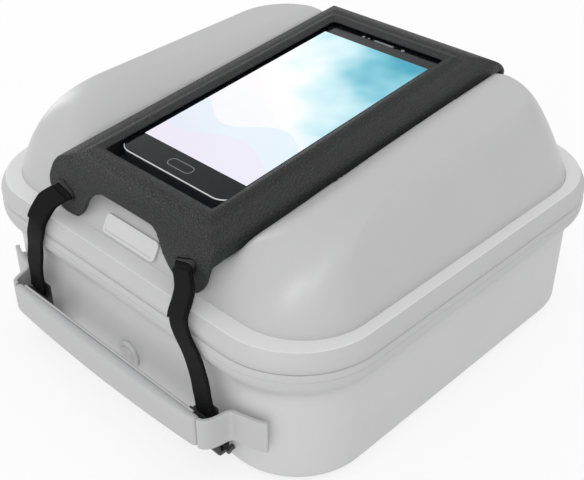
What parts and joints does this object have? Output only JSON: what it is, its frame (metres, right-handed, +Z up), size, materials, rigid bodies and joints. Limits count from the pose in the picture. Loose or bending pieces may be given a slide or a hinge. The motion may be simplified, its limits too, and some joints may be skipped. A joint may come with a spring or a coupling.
{
  "type": "tank bag",
  "caption": "Hard-shell clamshell tank bag with a hinged, zipped lid, a windowed phone pouch strapped over it, a carry handle and a quick-lock ring in its floor.",
  "frame": {"origin": "centre of the tank ring's mouth, on the underside", "axes": "+Z up, +Y away from the rider towards the hinge, +X to the rider's right"},
  "size_m": [0.2195, 0.227, 0.114],
  "materials": {
    "shell": "matte moulded shell",
    "rim": "padded cover",
    "handle_band": "woven band",
    "badge": "satin, bare",
    "board": "matte board",
    "pad": "non-slip",
    "rubber": "matte",
    "hard_plastic": "fine grain",
    "steel": "satin",
    "zip": "woven tape",
    "webbing": "woven",
    "pouch": "grained",
    "film": "clear",
    "phone": "satin",
    "screen": "glossy"
  },
  "bodies": {
    "tub": {"base_shell": "shell", "base_plate": "board", "base_pad": "pad", "tank_ring": "hard_plastic", "ring_screws": "steel", "base_rim": "rim", "zip_tape_lower": "zip", "zip_coil_lower": "zip", "hinge_roll": "webbing", "cable_port": "rubber", "handle_tab_left": "rim", "handle_tab_right": "rim", "handle_webbing_left": "handle_band", "handle_webbing_right": "handle_band", "anchor_loops": "steel", "rear_strap_left": "webbing", "rear_strap_right": "webbing", "rear_hooks": "hard_plastic"},
    "lid": {"lid_shell": "shell", "lid_rim": "rim", "zip_tape_upper": "zip", "zip_coil_upper": "zip", "hinge_leaf": "webbing", "badge_plate": "badge", "pouch_base": "pouch", "pouch_frame": "pouch", "window_film": "film", "ear_eyelets": "hard_plastic", "phone_body": "phone", "phone_glass": "screen", "front_strap_left": "webbing", "front_strap_right": "webbing", "front_hook_left": "hard_plastic", "front_hook_right": "hard_plastic"},
    "handle": {"handle_grip": "handle_band"},
    "slider_a": {"zip_slider_a": "steel"},
    "pull_a": {"zip_pull_a": "steel"},
    "slider_b": {"zip_slider_b": "steel"},
    "pull_b": {"zip_pull_b": "steel"}
  },
  "joints": [
    {"name": "lid_hinge", "type": "hinge", "parent": "tub", "child": "lid", "pos_m": [0, 0.1074, 0.0615], "axis": [-1, 0, 0], "range_deg": [0, 104], "deforming": ["rear_strap_left", "rear_strap_right"]},
    {"name": "handle_swing", "type": "hinge", "parent": "tub", "child": "handle", "pos_m": [0, -0.1035, 0.025], "axis": [1, 0, 0], "range_deg": [-15, 15], "deforming": ["handle_webbing_left", "handle_webbing_right"]},
    {"name": "zip_run_a", "type": "slide", "parent": "tub", "child": "slider_a", "axis": [0, -1, 0], "range_m": [0, 0.047]},
    {"name": "pull_swing_a", "type": "hinge", "parent": "slider_a", "child": "pull_a", "pos_m": [-0.1112, -0.008, 0.0615], "axis": [0, 0, -1], "range_deg": [0, 90]},
    {"name": "zip_run_b", "type": "slide", "parent": "tub", "child": "slider_b", "axis": [0, 1, 0], "range_m": [0, 0.047]},
    {"name": "pull_swing_b", "type": "hinge", "parent": "slider_b", "child": "pull_b", "pos_m": [-0.1112, 0.008, 0.0615], "axis": [0, 0, 1], "range_deg": [0, 90]}
  ]
}
